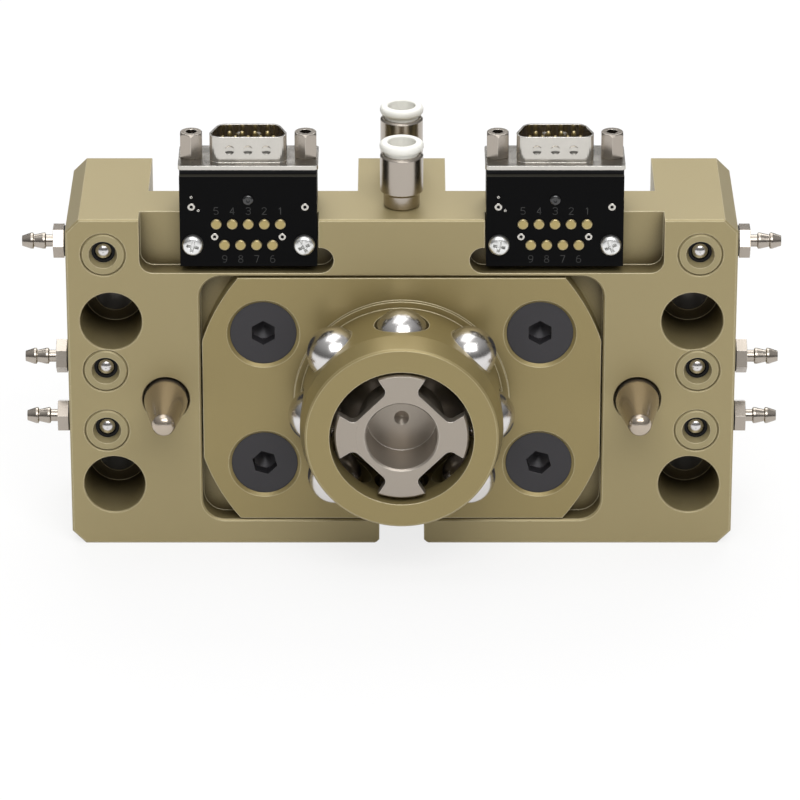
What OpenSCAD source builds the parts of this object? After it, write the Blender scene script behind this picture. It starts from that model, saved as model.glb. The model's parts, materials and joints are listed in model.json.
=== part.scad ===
// Robot side of a pneumatic ball-lock tool changer.
// The origin is the centre of the rear robot mounting face, on the coupling axis.
// +Y points to the robot, -Y to the tool, +Z up to the electrical connectors.

/* [Frame] */
// Width of the frame across the side faces
frame_w = 147.4; // [140:0.2:170]
// Height of the frame above the coupling axis
frame_top = 42.8; // [42:0.1:60]
// Height of the frame below the coupling axis
frame_low = 35.3; // [33:0.1:50]
// Depth of the frame from the robot face to the tool face
frame_depth = 37.5; // [36:0.1:48]
// Chamfer on the four long corners of the frame
corner_chamfer = 3; // [1:0.1:4]
// Break on the sharp edges of the frame
edge_break = 0.4; // [0.2:0.05:0.6]
// Width of the relief slot under the nose
slot_w = 10; // [6:0.1:16]
// Chamfer at the mouth of the relief slot
slot_chamfer = 1; // [0.3:0.1:1.5]

/* [Rear notches] */
// Width of the centre block left between the notches
block_w = 19.4; // [14:0.1:24]
// Distance from the coupling axis to the outer wall of a notch
notch_out = 56; // [40:0.1:58]
// Distance of the notches behind the tool face
notch_back = 17.2; // [16:0.1:22]
// Height of a notch below the top of the frame
notch_h = 11; // [4:0.1:12]

/* [Window] */
// Width of the recess that takes the housing flange
window_w = 88.8; // [86:0.1:92]
// Height of the recess that takes the housing flange
window_h = 58.8; // [56:0.1:59]
// Corner radius of the recess
window_r = 5; // [2:0.1:8]
// Thickness of the housing flange, and depth of its recess
flange_t = 5; // [4.6:0.1:6]
// Clearance between the flange and the recess, each side
flange_clear = 0.4; // [0.05:0.05:0.6]
// Radius that cuts the flange corners
flange_r = 46.2; // [44.5:0.1:48]

/* [Nose] */
// Distance that the nose stands out of the tool face
nose_len = 21.5; // [20:0.1:26]
// Outside diameter of the nose
nose_d = 44.6; // [44:0.1:48]
// Diameter of the nose at its leading face
nose_tip_d = 42.4; // [38:0.1:43]
// Length of the lead-in taper
nose_taper = 5.5; // [2:0.1:6]
// Diameter of the collar at the root of the nose
collar_d = 47.6; // [46:0.1:50]
// Height of the collar at the root of the nose
collar_h = 1; // [0.4:0.1:1.2]
// Diameter of the mouth of the nose
mouth_d = 31.6; // [31.5:0.1:32]
// Length of the mouth ahead of the ball chamber
mouth_len = 6; // [4:0.1:6.4]
// Diameter of the ball chamber inside the nose
relief_d = 33.2; // [33:0.1:34]
// Length of the ball chamber inside the nose
relief_len = 13.6; // [13:0.1:14]

/* [Locking balls] */
// Number of locking balls
ball_count = 8; // [4:1:8]
// Diameter of a locking ball
ball_d = 12; // [11:0.1:12]
// Distance of the ball plane behind the leading face of the nose
ball_back = 12.9; // [12.6:0.1:13.2]
// Distance from the coupling axis to a ball held out by the cam
ball_locked = 19; // [18.5:0.1:19.2]
// Distance from the coupling axis to a ball resting at the lip of its hole
ball_at_lip = 20.9; // [20:0.1:20.9]
// Clearance round a ball in its hole
ball_clear = 0.1; // [0.05:0.01:0.2]
// Thickness of the tapered lip that keeps a ball in
lip_t = 1.3; // [0.8:0.1:1.6]
// Narrowing of the ball hole at its lip, on the radius
lip_step = 0.25; // [0.2:0.01:0.3]

/* [Cam piston] */
// Diameter of the cam head
head_d = 29.4; // [28:0.1:31]
// Thickness of the cam head
head_t = 2.4; // [1.5:0.1:2.8]
// Distance of the cam head behind the leading face of the nose
head_back = 0.9; // [0.3:0.1:1.5]
// Diameter of the neck behind the cam head
neck_d = 18.8; // [18:0.1:19]
// Rise of the cam cone for each millimetre of length
cam_slope = 0.8; // [0.7:0.01:0.9]
// Gap between the cam cone and a locked ball
cam_gap = 0.06; // [0.03:0.01:0.1]
// Diameter of the piston rod
rod_d = 31.4; // [31:0.1:31.4]
// Clearance between the rod and its guide, on the radius
rod_clear = 0.05; // [0.02:0.01:0.1]
// Diameter of the centre bore in the cam head
centre_bore_d = 15.6; // [12:0.1:16]
// Depth of the centre bore in the cam head
centre_bore_deep = 10.5; // [4:0.1:12]
// Diameter of the turning centre at the bottom of the bore
turning_centre_d = 3.4; // [1:0.1:5]
// Depth of the turning centre
turning_centre_deep = 1; // [0.4:0.1:2]
// Distance from the axis to the flat of a cam head notch
notch_flat = 9.6; // [9.5:0.1:11]
// Half width of a cam head notch at its flat
notch_half_in = 5.5; // [3:0.1:6]
// Half width of a cam head notch at the rim
notch_half_out = 6.4; // [4:0.1:7]
// Corner radius of a cam head notch
notch_r = 1.6; // [0.5:0.1:2.2]
// Length of the piston
piston_len = 15; // [12:0.1:15.5]
// Travel of the piston from locked to released
piston_travel = 3.5; // [2.5:0.1:3.5]
// Space ahead of the piston when locked
piston_front_gap = 0.5; // [0.2:0.1:1]
// Step round the front of the piston, where the air comes in
piston_step = 2.4; // [1:0.1:3]
// Depth of the hollow in the back of the piston
piston_hollow = 9; // [4:0.1:11]

/* [Cylinder] */
// Outside diameter of the housing barrel
barrel_d = 54; // [52:0.1:55]
// Clearance between the barrel and the frame, on the radius
barrel_clear = 0.05; // [0.02:0.01:0.1]
// Distance of the barrel end below the robot face
barrel_end = 0.3; // [0.1:0.1:0.6]
// Bore of the cylinder
cylinder_d = 43; // [41:0.1:44]
// Clearance between the piston and the cylinder, on the radius
piston_clear = 0.05; // [0.02:0.01:0.1]
// Distance of the cylinder head behind the leading face of the nose
cylinder_back = 30; // [29.6:0.1:30.4]
// Diameter of the rear cover
cover_d = 46; // [45.4:0.1:47]
// Thickness of the rear cover
cover_t = 4; // [3.6:0.1:4.2]
// Gap between the released piston and the stop boss
stop_gap = 0.1; // [0.05:0.05:0.2]
// Diameter of the stop boss on the rear cover
stop_d = 12; // [10:0.1:16]
// Clearance round the stop boss in the hollow of the piston, on the radius
stop_clear = 1; // [0.5:0.1:2]
// Thickness of the retaining ring
ring_t = 1.2; // [1:0.05:1.3]
// Depth of the retaining ring groove
ring_deep = 1.2; // [0.8:0.1:1.4]
// Radial width of the retaining ring
ring_w = 3; // [2.4:0.1:4]
// Clearance of a part in its seat
seat_clear = 0.05; // [0.02:0.01:0.08]
// Section diameter of the sealing rings
seal_section = 1.8; // [1.5:0.1:2]

/* [Flange screws] */
// Distance of a flange screw from the centre plane
flange_screw_x = 30.5; // [29.6:0.1:31]
// Height of a flange screw from the coupling axis
flange_screw_z = 15.7; // [15:0.1:17]
// Diameter of a flange screw
flange_screw_d = 8; // [6:0.1:8]
// Diameter of the countersunk head
flange_head_d = 14.7; // [14:0.1:15]
// Depth of a screw head below the flange face
flange_sink = 0.65; // [0.2:0.05:0.9]
// Length of a flange screw
flange_screw_len = 20; // [14:0.5:22]
// Hexagon socket of a flange screw, across the flats
flange_socket = 5; // [4:0.5:5]
// Depth of the hexagon socket
flange_socket_deep = 3; // [2:0.1:3.5]
// Clearance round a screw in its hole, on the radius
screw_clear = 0.05; // [0.02:0.01:0.1]

/* [Robot bolts] */
// Distance of a robot bolt from the centre plane
robot_bolt_x = 64; // [63.8:0.05:64.2]
// Height of the upper robot bolts above the coupling axis
robot_bolt_up = 18.7; // [18.6:0.1:20]
// Height of the lower robot bolts below the coupling axis
robot_bolt_low = 20.7; // [19:0.1:23]
// Diameter of a robot bolt hole
robot_bolt_d = 8.6; // [8.4:0.1:9.5]
// Diameter of a robot bolt counterbore
robot_head_d = 13.6; // [13.2:0.1:13.6]
// Depth of a robot bolt counterbore
robot_head_deep = 17; // [9:0.5:24]

/* [Guide pins] */
// Distance of a guide pin from the centre plane
guide_x = 52.2; // [51.5:0.1:52.5]
// Diameter of the well round a guide pin
guide_well_d = 10.5; // [10:0.1:11]
// Depth of the well round a guide pin
guide_well_deep = 4; // [2:0.1:8]
// Diameter of a guide pin
guide_d = 9.6; // [8:0.1:9.8]
// Diameter of a guide pin inside its well
guide_root_d = 9.2; // [8.4:0.1:9.4]
// Diameter of the pin at the end of its taper
guide_tip_d = 5.4; // [4:0.1:6]
// Radius on the tip of a guide pin
tip_round = 2.3; // [1:0.1:2.5]
// Distance that a guide pin stands out of the tool face
guide_len = 15.7; // [12:0.1:20]
// Straight length of a guide pin ahead of the tool face
guide_land = 1.5; // [0.5:0.1:3]
// Diameter of the pressed shank of a guide pin
guide_shank_d = 8; // [6:0.1:8.4]
// Length of the pressed shank of a guide pin
guide_shank_len = 14; // [8:0.5:20]

/* [Air ports] */
// Distance of an air port from the centre plane
port_x = 65.45; // [65.3:0.05:65.6]
// Height of the upper air port
port_top_z = 34.5; // [34:0.1:35]
// Height of the middle air port
port_mid_z = 6.85; // [6.6:0.05:6.9]
// Height of the lower air port
port_low_z = -7.6; // [-8.2:0.1:-6.6]
// Diameter of a port insert
port_d = 9.8; // [9.2:0.1:9.8]
// Length of a port insert
port_len = 12; // [10.5:0.1:14]
// Diameter of the funnel at the mouth of a port
port_mouth_d = 6.3; // [6:0.1:6.6]
// Depth of the funnel
port_funnel = 2.1; // [1.6:0.1:2.2]
// Diameter of the throat that the poppet comes through
port_throat_d = 5.2; // [5.1:0.1:5.3]
// Depth of the seat behind the throat
port_seat_deep = 5.4; // [5:0.1:5.8]
// Diameter of the groove for the port seal
port_groove_d = 6; // [5.8:0.1:6.4]
// Thickness of the port seal
port_seal_t = 0.8; // [0.6:0.1:1]
// Clearance between the port seal and the poppet, on the radius
port_seal_gap = 0.12; // [0.1:0.01:0.15]
// Diameter of the chamber behind the poppet seat
port_chamber_d = 6.4; // [6.2:0.1:6.6]
// Diameter of the ball tip of a poppet
poppet_tip_d = 4.9; // [4.6:0.1:5]
// Distance of the poppet tip behind the tool face
poppet_back = 1.45; // [1.4:0.05:1.6]
// Diameter of the sealing shoulder of a poppet
poppet_shoulder_d = 6; // [5.8:0.1:6.1]
// Thickness of the sealing shoulder of a poppet
poppet_shoulder_t = 1; // [0.6:0.1:1.4]
// Diameter of the poppet stem inside the spring
poppet_stem_d = 2.4; // [1.6:0.1:2.6]
// Length of the poppet stem inside the spring
poppet_stem_len = 2.6; // [1.5:0.1:3]
// Travel of a poppet
poppet_travel = 1.5; // [0.8:0.1:1.8]
// Wire diameter of a poppet spring
spring_wire = 0.6; // [0.4:0.05:0.7]
// Number of spring coils
spring_coils = 4; // [3:1:5]

/* [Hose barbs] */
// Distance of the hose barbs behind the tool face
barb_back = 8.4; // [8:0.1:9]
// Thickness of the gasket under a hose barb
gasket_t = 0.6; // [0.4:0.1:1]
// Diameter of the gasket under a hose barb
gasket_d = 6.8; // [6:0.1:7.4]
// Hexagon of a hose barb, across the flats
barb_hex = 6.6; // [5.5:0.1:7]
// Thickness of the hexagon of a hose barb
barb_hex_t = 2.4; // [2:0.1:3]
// Length of the hose spigot
barb_len = 6.9; // [5:0.1:9]
// Diameter over the ridges of the hose spigot
barb_ridge_d = 3.6; // [3:0.1:4]
// Diameter of the hose spigot between the ridges
barb_root_d = 2.7; // [2.2:0.1:2.9]
// Bore of the hose spigot
barb_bore_d = 1.6; // [1:0.1:1.8]
// Thread diameter of a hose barb
barb_thread_d = 3; // [2.5:0.1:3]
// Thread length of a hose barb
barb_thread_len = 2.6; // [2:0.1:2.8]

/* [Tube fittings] */
// Distance of the front tube fitting behind the tool face
front_fitting_back = 8.8; // [8.6:0.1:9.2]
// Distance of the rear tube fitting behind the tool face
rear_fitting_back = 31.2; // [30.8:0.1:31.4]
// Diameter of the fitting base
fitting_base_d = 8; // [7:0.1:8.2]
// Height of the fitting base
fitting_base_h = 3.2; // [2.5:0.1:4]
// Diameter of the fitting body
fitting_d = 9.5; // [9.4:0.1:10.5]
// Chamfer at the foot of the fitting body
fitting_chamfer = 0.6; // [0.4:0.1:0.7]
// Height of the fitting body
fitting_h = 9; // [7.5:0.1:10]
// Thread diameter of a fitting
fitting_thread_d = 5; // [4:0.1:6]
// Thread length of a fitting
fitting_thread_len = 4; // [3:0.1:5]
// Outside diameter of the air tube
tube_d = 6; // [5.8:0.1:6]
// Clearance round the air tube, on the radius
tube_clear = 0.05; // [0.02:0.01:0.1]
// Diameter of the release collar
release_d = 9.7; // [9.4:0.1:10.4]
// Thickness of the release collar
release_t = 2; // [1.9:0.1:2.4]
// Radius on the rim of the release collar
release_round = 0.9; // [0.5:0.05:0.95]
// Gap under the release collar
release_gap = 0.8; // [0.8:0.1:1.4]
// Outside diameter of the sleeve under the release collar
release_sleeve_d = 7.6; // [7.2:0.1:7.8]
// Length of the release sleeve inside the fitting body
release_sleeve_in = 3; // [2:0.1:3.4]
// Travel of the release collar
release_travel = 0.6; // [0.4:0.1:0.6]
// Diameter of the air passages
passage_d = 2.5; // [1.5:0.1:2.6]
// Distance that an air passage is set in from the middle of its fitting
passage_shift = 1.2; // [0.9:0.1:1.2]

/* [Connector pockets] */
// Distance from the centre plane to the inner wall of a pocket
pocket_in = 18.2; // [17.6:0.1:18.3]
// Distance from the centre plane to the outer wall of a pocket
pocket_out = 57.5; // [50:0.1:58]
// Depth of a pocket behind the tool face
pocket_deep = 5; // [4.4:0.1:6]
// Height of the pocket floor above the coupling axis
pocket_floor = 30.2; // [30.1:0.1:31]
// Corner radius of a pocket
pocket_r = 3; // [1:0.1:4]
// Distance that the floor slot runs on past the inner wall
pocket_slot = 3.3; // [2:0.1:5]
// Height of the floor slot
pocket_slot_h = 6; // [4:0.1:7]

/* [Contact boards] */
// Distance of a connector module from the centre plane
module_x = 33.5; // [33.4:0.1:34]
// Width of a contact board
board_w = 30; // [29:0.1:30]
// Height of the lower edge of a contact board
board_low = 31.9; // [31.5:0.1:32.5]
// Height of the connector flange above the coupling axis
plug_low = 53.8; // [53:0.1:58]
// Distance of the board edge below the connector flange
board_below = 0.9; // [0:0.1:1.4]
// Thickness of a contact board
board_t = 1.6; // [1:0.1:2]
// Diameter of a contact pad
pad_d = 2.4; // [1.8:0.1:2.8]
// Height that a contact pad stands out of the board
pad_h = 0.35; // [0.2:0.05:0.6]
// Pitch of the contact pads
pad_pitch = 3.5; // [3:0.1:4]
// Height of the upper row of pads
pad_row_up = 41.8; // [41.2:0.1:42]
// Height of the lower row of pads
pad_row_low = 36.9; // [36.4:0.1:37.4]
// Distance of a board screw from the side edge of the board
board_screw_in = 2.8; // [2.6:0.1:3.2]
// Height of a board screw
board_screw_z = 37; // [36.8:0.1:38]
// Diameter of a board screw
board_screw_d = 2.5; // [2:0.1:2.5]
// Diameter of the pan head of a board screw
board_head_d = 4.7; // [4:0.1:4.8]
// Height of the pan head of a board screw
board_head_h = 1.5; // [1:0.1:1.8]
// Length of a board screw under its head
board_screw_len = 10; // [8:0.5:12]

/* [Connectors] */
// Width of the connector flange
plug_flange_w = 30.6; // [30:0.1:31]
// Depth of the connector flange
plug_flange_deep = 12.5; // [12:0.1:13]
// Thickness of the connector flange
plug_flange_t = 1; // [0.8:0.1:1.2]
// Distance of the connector middle behind the tool face
plug_back = 7.8; // [7.7:0.1:8.2]
// Length of the connector shell along its wide side
shell_w = 16.9; // [16.6:0.1:17]
// Width of the connector shell
shell_deep = 8.4; // [8.2:0.1:8.6]
// Slope of the shell ends, in degrees
shell_angle = 10; // [8:0.5:12]
// Corner radius of the shell
shell_r = 2.4; // [1.8:0.1:2.6]
// Wall thickness of the shell
shell_wall = 0.45; // [0.35:0.05:0.6]
// Height of the shell above its flange
shell_h = 5.9; // [5:0.1:6.2]
// Height of the insulator above the flange
insulator_h = 1.2; // [0.8:0.1:2]
// Pitch of the contact pins
pin_pitch = 2.77; // [2.7:0.01:2.8]
// Distance between the two rows of contact pins
pin_rows = 2.84; // [2.7:0.01:2.9]
// Diameter of a contact pin
pin_d = 1; // [0.8:0.05:1.1]
// Distance of the pin tips below the shell rim
pin_below_rim = 0.7; // [0.3:0.1:1.2]
// Distance between the two jack screws
jack_pitch = 24.99; // [24.8:0.01:25.2]
// Hexagon of a jack screw, across the flats
jack_hex = 4.75; // [4.4:0.05:5]
// Height of a jack screw
jack_h = 5.7; // [5:0.1:6.5]
// Bevel on the corners of a jack screw
jack_bevel = 0.5; // [0.3:0.05:0.6]
// Thread diameter of a jack screw
jack_thread_d = 2.8; // [2.4:0.1:3]
// Wall of the connector housing outside a jack screw
jack_wall = 1.1; // [0.9:0.05:1.6]
// Diameter of the dimples that grip the mating shell
dimple_d = 2.2; // [1.6:0.1:2.6]
// Depth of the dimples
dimple_deep = 0.3; // [0.15:0.05:0.4]
// Pitch of the dimples
dimple_pitch = 4; // [3.6:0.1:4.4]

/* [Hidden] */
$fn = 64;
frame_front = -frame_depth;
nose_front = frame_front - nose_len;
window_floor = frame_front + flange_t;
cut = 1;
barrel_r = barrel_d / 2;
cylinder_head = nose_front + cylinder_back;
barrel_back = -barrel_end;
piston_front = cylinder_head + piston_front_gap;
piston_back = piston_front + piston_len;
ring_lip = 1.3;
ring_slack = 0.05;
ring_back = barrel_back - ring_lip;
ring_front = ring_back - ring_t - ring_slack;
cover_front = ring_front - cover_t;
stop_front = piston_back + piston_travel + stop_gap;
ball_y = nose_front + ball_back;
ball_step = 360 / ball_count;
cam_angle = atan(cam_slope);
cam_r_at_ball = ball_locked - (ball_d / 2 + cam_gap) / cos(cam_angle);
cone_back = ball_back + (rod_d / 2 - cam_r_at_ball) / cam_slope;
cone_front = ball_back - (cam_r_at_ball - neck_d / 2) / cam_slope;
rod_seal_y = cylinder_head - 4;
piston_seal_y = (piston_front + piston_back) / 2;
cover_seal_y = (cover_front + ring_front) / 2;
port_zs = [port_top_z, port_mid_z, port_low_z];
bolt_zs = [robot_bolt_up, -robot_bolt_low];
barb_y = frame_front + barb_back;
fitting_ys = [frame_front + front_fitting_back, frame_front + rear_fitting_back];
passage_ys = [fitting_ys[0] + passage_shift, fitting_ys[1] - passage_shift];
fitting_top = frame_top + fitting_base_h + fitting_h;
board_back = frame_front + board_t;
pocket_back = frame_front + pocket_deep;
plug_y = frame_front + plug_back;
plug_top = plug_low + plug_flange_t;
spring_front = frame_front + port_seat_deep + poppet_shoulder_t + seat_clear;
port_seal_front = port_funnel + seat_clear;
socket_turn = 7;
spring_back = frame_front + port_len;
rod_seal_r = rod_d / 2 + rod_clear + seal_section / 2;
sleeve_r = release_sleeve_d / 2;
sleeve_slack = 0.4;
sleeve_well = release_sleeve_in + release_travel + sleeve_slack;
tube_seal_section = sleeve_r - tube_d / 2;
tube_seal_r = (sleeve_r + tube_d / 2) / 2;
tube_seal_well = tube_seal_section + 2 * seat_clear;
board_screw_x = board_w / 2 - board_screw_in;
housing_w = jack_pitch + jack_thread_d + 2 * jack_wall;
pad_shank_r = pad_d * 0.3;
dimple_r = (pow(dimple_d / 2, 2) + pow(dimple_deep, 2)) / (2 * dimple_deep);
dimple_z = plug_flange_t + shell_h / 2;

olive = "#92855E";
steel = "#A49A90";
chrome = "#D8D8DA";
black_steel = "#3B3A3F";
black = "#141416";
gold = "#C9A94E";
nickel = "#B9B4A8";
tin = "#B8B5AC";
rubber = "#1C1C1E";
white = "#F0EFE6";
spring_steel = "#8C8C90";
brown = "#3A2A22";

// Places children at a point, with their own Z axis turned to face the robot (+Y).
module toward_robot(x, y, z) {
    translate([x, y, z]) rotate([-90, 0, 0]) children();
}

// Extrudes a 2D outline drawn in X and Z, from the plane y back to y + depth.
module plate(y, depth) {
    translate([0, y + depth, 0]) rotate([90, 0, 0]) linear_extrude(depth) children();
}

// Turns a profile of [radius, distance behind y] points about an axis along Y.
module turned(points, x = 0, y = 0, z = 0) {
    toward_robot(x, y, z) rotate_extrude() polygon(points);
}

// Hole bored from a face at y, with its rim broken by a small chamfer.
module bored(r, depth, x, y, z, rim = edge_break / 2) {
    turned([[0, -cut], [r + rim + cut, -cut], [r, rim], [r, depth], [0, depth]], x, y, z);
}

module both_sides() {
    for (side = [0, 1]) mirror([side, 0, 0]) children();
}

module rounded_rect(w, h, r) {
    union() {
        square([w - 2 * r, h], center = true);
        square([w, h - 2 * r], center = true);
        for (sx = [-1, 1], sz = [-1, 1]) translate([sx * (w / 2 - r), sz * (h / 2 - r)]) circle(r);
    }
}

module ring_of_section(mean_r, section) {
    rotate_extrude() translate([mean_r, 0]) circle(d = section, $fn = 24);
}

/* ---- frame ---- */

function frame_outline() = let (w = frame_w / 2, c = corner_chamfer) [
    [-w + c, -frame_low], [w - c, -frame_low], [w, -frame_low + c], [w, frame_top - c],
    [w - c, frame_top], [-w + c, frame_top], [-w, frame_top - c], [-w, -frame_low + c]
];

// Breaks the edges that run round the frame outline at the plane y.
module outline_break(y) {
    points = frame_outline();
    for (i = [0 : len(points) - 1]) {
        a = points[i];
        b = points[(i + 1) % len(points)];
        run = norm(b - a);
        heading = atan2(b[1] - a[1], b[0] - a[0]);
        translate([a[0], y, a[1]]) rotate([0, -heading, 0]) rotate([45, 0, 0])
            cube([3 * run, edge_break * sqrt(2), edge_break * sqrt(2)], center = true);
    }
}

// Bevels the rim of the flange window.
module window_break() {
    inner = window_r;
    for (sx = [-1, 1], sz = [-1, 1])
        turned([[0, 0], [inner + edge_break, 0], [inner, edge_break], [0, edge_break]],
               sx * (window_w / 2 - inner), frame_front, sz * (window_h / 2 - inner));
    for (sx = [-1, 1]) translate([sx * window_w / 2, frame_front, 0]) rotate([0, 0, 45])
        cube([edge_break * sqrt(2), edge_break * sqrt(2), window_h - 2 * inner], center = true);
    for (sz = [-1, 1]) translate([0, frame_front, sz * window_h / 2]) rotate([45, 0, 0])
        cube([window_w - 2 * inner, edge_break * sqrt(2), edge_break * sqrt(2)], center = true);
}

module connector_pocket() {
    plate(frame_front - cut, pocket_deep + cut) {
        difference() {
            translate([pocket_in, pocket_floor]) square([pocket_out - pocket_in, frame_top - pocket_floor + cut]);
            difference() {
                translate([pocket_out - pocket_r, pocket_floor]) square(pocket_r);
                translate([pocket_out - pocket_r, pocket_floor + pocket_r]) circle(pocket_r);
            }
        }
        end_r = pocket_slot_h / 2;
        translate([pocket_in - pocket_slot + end_r, pocket_floor]) square([pocket_slot, pocket_slot_h]);
        translate([pocket_in - pocket_slot + end_r, pocket_floor + end_r]) circle(end_r);
    }
}

module rear_notch() {
    translate([block_w / 2, frame_front + notch_back, frame_top - notch_h])
        cube([notch_out - block_w / 2, frame_depth - notch_back + cut, notch_h + cut]);
}

module relief_slot() {
    low = -frame_low;
    half = slot_w / 2;
    top = -window_h / 2 + cut;
    plate(frame_front - cut, frame_depth + 2 * cut) polygon([
        [-half - slot_chamfer - cut, low - cut], [half + slot_chamfer + cut, low - cut],
        [half, low + slot_chamfer], [half, top], [-half, top], [-half, low + slot_chamfer]
    ]);
}

module robot_bolt_holes() {
    for (z = bolt_zs) {
        bored(robot_head_d / 2, robot_head_deep, robot_bolt_x, frame_front, z);
        toward_robot(robot_bolt_x, frame_front, z) cylinder(d = robot_bolt_d, h = frame_depth + cut);
    }
}

module guide_pin_hole() {
    bored(guide_well_d / 2, guide_well_deep, guide_x, frame_front, 0);
    toward_robot(guide_x, frame_front, 0)
        cylinder(d = guide_shank_d, h = guide_well_deep + guide_shank_len + cut);
}

module port_holes() {
    for (z = port_zs) {
        bored(port_d / 2 + seat_clear, port_len, port_x, frame_front, z);
        translate([port_x, barb_y, z]) rotate([0, 90, 0]) cylinder(d = barb_bore_d, h = frame_w);
        translate([frame_w / 2 - barb_thread_len - seat_clear, barb_y, z]) rotate([0, 90, 0])
            cylinder(d = barb_thread_d + 2 * seat_clear, h = frame_w);
    }
}

module board_screw_holes() {
    for (side = [-1, 1]) toward_robot(module_x + side * board_screw_x, pocket_back, board_screw_z)
        cylinder(r = board_screw_d / 2 + screw_clear, h = board_screw_len - pocket_deep + cut);
}

module flange_screw_holes() {
    for (sz = [-1, 1]) toward_robot(flange_screw_x, window_floor, sz * flange_screw_z)
        cylinder(r = flange_screw_d / 2 + screw_clear, h = flange_screw_len - flange_t + cut);
}

module fitting_holes() {
    for (y = passage_ys) translate([0, y, 0]) cylinder(d = passage_d, h = frame_top - fitting_thread_len);
    for (y = fitting_ys) translate([0, y, frame_top - fitting_thread_len - cut])
        cylinder(r = fitting_thread_d / 2 + seat_clear, h = fitting_thread_len + 2 * cut);
}

module frame_body() {
    color(olive) difference() {
        plate(frame_front, frame_depth) polygon(frame_outline());
        outline_break(frame_front);
        outline_break(0);
        plate(frame_front - cut, flange_t + cut) rounded_rect(window_w, window_h, window_r);
        window_break();
        toward_robot(0, window_floor - cut, 0) cylinder(r = barrel_r + barrel_clear, h = frame_depth);
        relief_slot();
        fitting_holes();
        both_sides() {
            connector_pocket();
            rear_notch();
            robot_bolt_holes();
            guide_pin_hole();
            port_holes();
            board_screw_holes();
            flange_screw_holes();
        }
    }
}

/* ---- housing, cylinder and cover ---- */

function nose_profile() = [
    [mouth_d / 2, 0], [nose_tip_d / 2 - edge_break, 0], [nose_tip_d / 2, edge_break],
    [nose_d / 2, nose_taper], [nose_d / 2, nose_len - collar_h],
    [collar_d / 2, nose_len - collar_h], [collar_d / 2, nose_len + flange_t / 2],
    [barrel_r, nose_len + flange_t / 2], [barrel_r, barrel_back - nose_front],
    [cover_d / 2, barrel_back - nose_front],
    [cover_d / 2, ring_back - nose_front], [cover_d / 2 + ring_deep, ring_back - nose_front],
    [cover_d / 2 + ring_deep, ring_front - nose_front], [cover_d / 2, ring_front - nose_front],
    [cover_d / 2, cover_front - nose_front], [cylinder_d / 2, cover_front - nose_front],
    [cylinder_d / 2, cylinder_back], [rod_d / 2 + rod_clear, cylinder_back],
    [rod_d / 2 + rod_clear, mouth_len + relief_len], [relief_d / 2, mouth_len + relief_len],
    [relief_d / 2, mouth_len], [mouth_d / 2, mouth_len]
];

// Radial hole with a tapered lip, drawn along +Z from the coupling axis.
module ball_hole() {
    r = ball_d / 2 + ball_clear;
    lip_start = nose_d / 2 - lip_t;
    beyond = 0.6;
    rotate_extrude() polygon([
        [0, rod_d / 4], [r, rod_d / 4], [r, lip_start],
        [r - lip_step * (1 + beyond / lip_t), nose_d / 2 + beyond], [0, nose_d / 2 + beyond]
    ]);
}

// Turns children about the coupling axis to each ball position.
module at_ball(i) {
    translate([0, ball_y, 0]) rotate([0, i * ball_step, 0]) children();
}

module seal_groove(y, mean_r) {
    half = seal_section / 2 + seat_clear;
    turned([[mean_r - half, -half], [mean_r + half, -half], [mean_r + half, half], [mean_r - half, half]], 0, y, 0);
}

module countersink(x, z) {
    face_r = flange_head_d / 2 + seat_clear + flange_sink;
    shank_r = flange_screw_d / 2 + screw_clear;
    turned([[0, -cut], [face_r + cut, -cut], [shank_r, face_r - shank_r],
            [shank_r, flange_t + cut], [0, flange_t + cut]], x, frame_front, z);
}

module flange_outline() {
    intersection() {
        square([window_w - 2 * flange_clear, window_h - 2 * flange_clear], center = true);
        circle(flange_r);
    }
}

module master_housing() {
    color(olive) difference() {
        union() {
            difference() {
                plate(frame_front, flange_t) flange_outline();
                toward_robot(0, frame_front - cut, 0) cylinder(r = relief_d / 2 + cut, h = flange_t + 2 * cut);
            }
            turned(nose_profile(), 0, nose_front, 0);
        }
        for (i = [1 : ball_count]) at_ball(i) ball_hole();
        for (sx = [-1, 1], sz = [-1, 1]) countersink(sx * flange_screw_x, sz * flange_screw_z);
        seal_groove(rod_seal_y, rod_seal_r);
        for (y = passage_ys) translate([0, y, cylinder_d / 2 - cut])
            cylinder(d = passage_d, h = barrel_r - cylinder_d / 2 + 2 * cut);
    }
}

module housing_screw() {
    head_r = flange_head_d / 2;
    shank_r = flange_screw_d / 2;
    socket_floor = flange_sink + flange_socket_deep;
    difference() {
        rotate_extrude() polygon([
            [0, flange_sink], [head_r, flange_sink], [shank_r, flange_sink + head_r - shank_r],
            [shank_r, flange_screw_len - edge_break], [shank_r - edge_break, flange_screw_len],
            [0, flange_screw_len]
        ]);
        cylinder(r = flange_socket / sqrt(3), h = socket_floor, $fn = 6);
        translate([0, 0, socket_floor])
            cylinder(r1 = flange_socket / 2, r2 = 0, h = flange_socket / 2 * tan(30));
    }
}

module housing_screws() {
    color(black_steel) for (sx = [-1, 1], sz = [-1, 1])
        toward_robot(sx * flange_screw_x, frame_front, sz * flange_screw_z)
            rotate(30 * sx + socket_turn * (sz - 1)) housing_screw();
}

module rear_cover() {
    r = cover_d / 2 - seat_clear;
    groove = r - seal_section - seat_clear;
    color(olive) difference() {
        turned([
            [0, stop_front], [stop_d / 2, stop_front], [stop_d / 2, cover_front],
            [r, cover_front], [r, ring_front], [0, ring_front]
        ]);
        turned([[groove, -seal_section / 2 - seat_clear], [cover_d, -seal_section / 2 - seat_clear],
                [cover_d, seal_section / 2 + seat_clear], [groove, seal_section / 2 + seat_clear]],
               0, cover_seal_y, 0);
    }
}

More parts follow.
